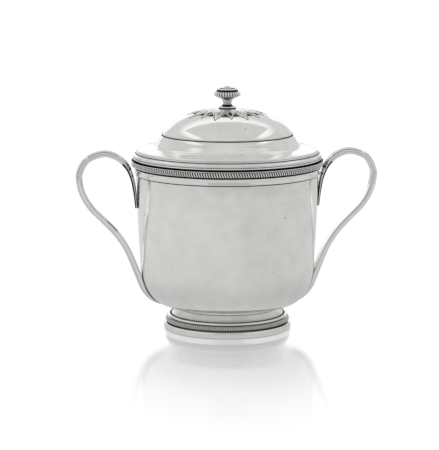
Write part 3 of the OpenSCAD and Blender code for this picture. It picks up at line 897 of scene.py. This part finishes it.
def hidden_fixings():
    """The CAD nodes that stay as they are get plain workshop silver or the sheet's finish."""
    for node, material in (("lid_bezel", DOME), ("finial_stud", HIDDEN),
                           ("finial_washer", HIDDEN), ("finial_nut", HIDDEN)):
        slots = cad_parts[node].material_slots
        for k in range(len(slots)):
            slots[k].material = material


# ---- studio ----

def emission(name, shade, strength):
    """A softly uneven glowing card."""
    material = bpy.data.materials.new(name)
    material.use_nodes = True
    tree = material.node_tree
    tree.nodes.clear()
    glow = add(tree, "ShaderNodeEmission", Strength=strength)
    output = tree.nodes.new("ShaderNodeOutputMaterial")
    place = tree.nodes.new("ShaderNodeTexCoord").outputs["Object"]
    drift = noise_at(tree, place, 1.1, 2.0)
    link(tree, ramp(tree, drift, [(0.3, shade * 0.93), (0.7, shade)]), glow.inputs["Color"])
    link(tree, glow.outputs["Emission"], output.inputs["Surface"])
    return material


def card(name, corners, material, camera=False, diffuse=True, glossy=True, shadow=False):
    """A flat card of the studio, seen only by the kinds of ray that are named."""
    mesh = bpy.data.meshes.new(name)
    mesh.from_pydata(corners, [], [(0, 1, 2, 3)])
    mesh.materials.append(material)
    piece = bpy.data.objects.new(name, mesh)
    bpy.context.scene.collection.objects.link(piece)
    piece.visible_camera = camera
    piece.visible_diffuse = diffuse
    piece.visible_glossy = glossy
    piece.visible_shadow = shadow
    return piece


def level(x0, x1, y0, y1, z):
    """Corners of a level rectangle."""
    return [(x0, y0, z), (x1, y0, z), (x1, y1, z), (x0, y1, z)]


def floor_material():
    """A white table lit to the edge of white, glossy round the foot and matt further out."""
    material = bpy.data.materials.new("white_gloss_table")
    material.use_nodes = True
    tree = material.node_tree
    matt = tree.nodes["Principled BSDF"]
    matt.inputs["Base Color"].default_value = (0.14, 0.14, 0.14, 1)
    matt.inputs["Roughness"].default_value = 1.0
    matt.inputs["Specular IOR Level"].default_value = 0.0
    matt.inputs["Emission Color"].default_value = (1, 1, 1, 1)
    matt.inputs["Emission Strength"].default_value = 0.90
    gloss = add(tree, "ShaderNodeBsdfGlossy", Color=(1, 1, 1, 1), Roughness=0.11)
    narrowed = add(tree, "ShaderNodeMapping", Scale=(2.0, 1, 1))
    link(tree, tree.nodes.new("ShaderNodeTexCoord").outputs["Object"], narrowed.inputs["Vector"])
    away = add(tree, "ShaderNodeVectorMath")
    away.operation = "LENGTH"
    link(tree, narrowed.outputs["Vector"], away.inputs[0])
    share = ramp(tree, away.outputs["Value"], [(0.05, 0.62), (0.10, 0.52), (0.145, 0.34),
                                               (0.185, 0.17), (0.26, 0.0)])
    blend = tree.nodes.new("ShaderNodeMixShader")
    link(tree, share, blend.inputs[0])
    link(tree, matt.outputs["BSDF"], blend.inputs[1])
    link(tree, gloss.outputs["BSDF"], blend.inputs[2])
    link(tree, blend.outputs[0], tree.nodes["Material Output"].inputs["Surface"])
    return material


def table_material():
    """The glowing grey table that the silver mirrors: lighter behind the bowl, darker close to it
    as a painted shadow of the bowl, and darker to the right as a painted reflection of the dark
    camera side.
    """
    material = bpy.data.materials.new("grey_table")
    material.use_nodes = True
    tree = material.node_tree
    tree.nodes.clear()
    glow = tree.nodes.new("ShaderNodeEmission")
    output = tree.nodes.new("ShaderNodeOutputMaterial")
    link(tree, glow.outputs["Emission"], output.inputs["Surface"])
    place = tree.nodes.new("ShaderNodeTexCoord").outputs["Object"]
    across = add(tree, "ShaderNodeVectorMath")
    across.operation = "DOT_PRODUCT"
    across.inputs[1].default_value = (-0.2, 1, 0)
    link(tree, place, across.inputs[0])
    back = add(tree, "ShaderNodeMapRange")
    back.inputs["From Min"].default_value = -0.8
    back.inputs["From Max"].default_value = 0.8
    link(tree, across.outputs["Value"], back.inputs["Value"])
    shade = ramp(tree, back.outputs["Result"], [(0.0, 0.50), (0.125, 0.57), (0.22, 0.66),
                                                (0.50, 0.69), (0.75, 0.72)])
    away = add(tree, "ShaderNodeVectorMath")
    away.operation = "LENGTH"
    link(tree, place, away.inputs[0])
    # Painted shadow of the bowl: the glow darkens close to it.
    near = ramp(tree, away.outputs["Value"], [(0.03, 0.90), (0.06, 0.82), (0.12, 0.94),
                                              (0.25, 1.0), (0.45, 1.0), (0.70, 0.86)])
    parts = add(tree, "ShaderNodeSeparateXYZ")
    link(tree, place, parts.inputs["Vector"])
    # Painted reflection of the dark camera side: the right half glows less.
    right = ramp(tree, parts.outputs["X"], [(0.0, 1.0), (0.06, 0.94)])
    shade = mixed(tree, 1.0, shade, right, "MULTIPLY")
    link(tree, mixed(tree, 1.0, shade, near, "MULTIPLY"), glow.inputs["Color"])
    return material


def studio():
    """A light tent with a grey ceiling and grey side cards, and the two tables."""
    far = 6.0
    card("floor", level(-far, far, -far, far, 0), floor_material(), camera=True, glossy=False,
         shadow=True)
    card("table_in_the_silver", level(-far, far, -far, far, -0.02 * MM), table_material(),
         diffuse=False)
    grey = emission("grey_card", 0.66, 1.0)
    card("ceiling", level(-1.15, 1.15, -1.0, 1.0, 1.6), grey, diffuse=False)
    card("left_wall", [(-1.5, -2.6, 0), (-1.5, 1.05, 0), (-1.5, 1.05, 1.35), (-1.5, -2.6, 1.6)],
         grey, diffuse=False)
    card("right_wall", [(1.5, -3.6, 0), (1.5, 0.87, 0), (1.5, 0.87, 1.35), (1.5, -3.6, 1.6)],
         grey, diffuse=False)
    white = emission("white_card", 1.0, 1.08)
    card("backdrop", [(-2.2, 5.9, 0), (2.2, 5.9, 0), (2.2, 5.9, 2.2), (-2.2, 5.9, 2.2)], white,
         diffuse=False)


def world_light():
    """An even sky, brighter in a ring between the walls and the ceiling except at the front."""
    world = bpy.data.worlds.new("tent")
    bpy.context.scene.world = world
    world.use_nodes = True
    tree = world.node_tree
    place = tree.nodes.new("ShaderNodeTexCoord").outputs["Generated"]
    parts = add(tree, "ShaderNodeSeparateXYZ")
    link(tree, place, parts.inputs["Vector"])
    shade = ramp(tree, parts.outputs["Z"], [(0.0, 0.68), (0.58, 0.66), (0.72, 0.98), (1.0, 0.98)])
    back = add(tree, "ShaderNodeMapRange")
    back.inputs["From Min"].default_value = -1.0
    link(tree, parts.outputs["Y"], back.inputs["Value"])
    front = ramp(tree, back.outputs["Result"], [(0.30, 0.70), (0.42, 1.0)])
    shade = mixed(tree, 1.0, shade, front, "MULTIPLY")
    link(tree, shade, tree.nodes["Background"].inputs["Color"])


def soft_sun(name, power, spread):
    """Even light from overhead that only the table shows."""
    data = bpy.data.lights.new(name, "SUN")
    data.energy = power
    data.angle = math.radians(spread)
    light = bpy.data.objects.new(name, data)
    light.visible_glossy = False
    bpy.context.scene.collection.objects.link(light)


def camera():
    """A long lens a little above the rim, turned six degrees to the left."""
    data = bpy.data.cameras.new("camera")
    data.lens = 174.26
    data.shift_x = -0.0173
    view = bpy.data.objects.new("camera", data)
    away, high, aim = 1.188, 0.250, 0.057
    view.location = (-away * math.sin(CAMERA_TURN), -away * math.cos(CAMERA_TURN), high)
    look = Vector((0, 0, aim)) - view.location
    view.rotation_euler = look.to_track_quat("-Z", "Y").to_euler()
    bpy.context.scene.collection.objects.link(view)
    bpy.context.scene.camera = view


bowl_shell()
rim_mouldings()
foot_drum()
foot_mouldings()
foot_plinth()
handle("right_strap_handle", "right_handle", 1)
handle("left_strap_handle", "left_handle", -1)
lid_dome()
lid_brim()
lid_edge()
leaf_rosette()
finial_collar()
finial_stem()
finial_button()
finial_cap()
hidden_fixings()
studio()
world_light()
soft_sun("overhead", 0.5, 90)
camera()
bpy.context.scene.view_settings.view_transform = "Standard"
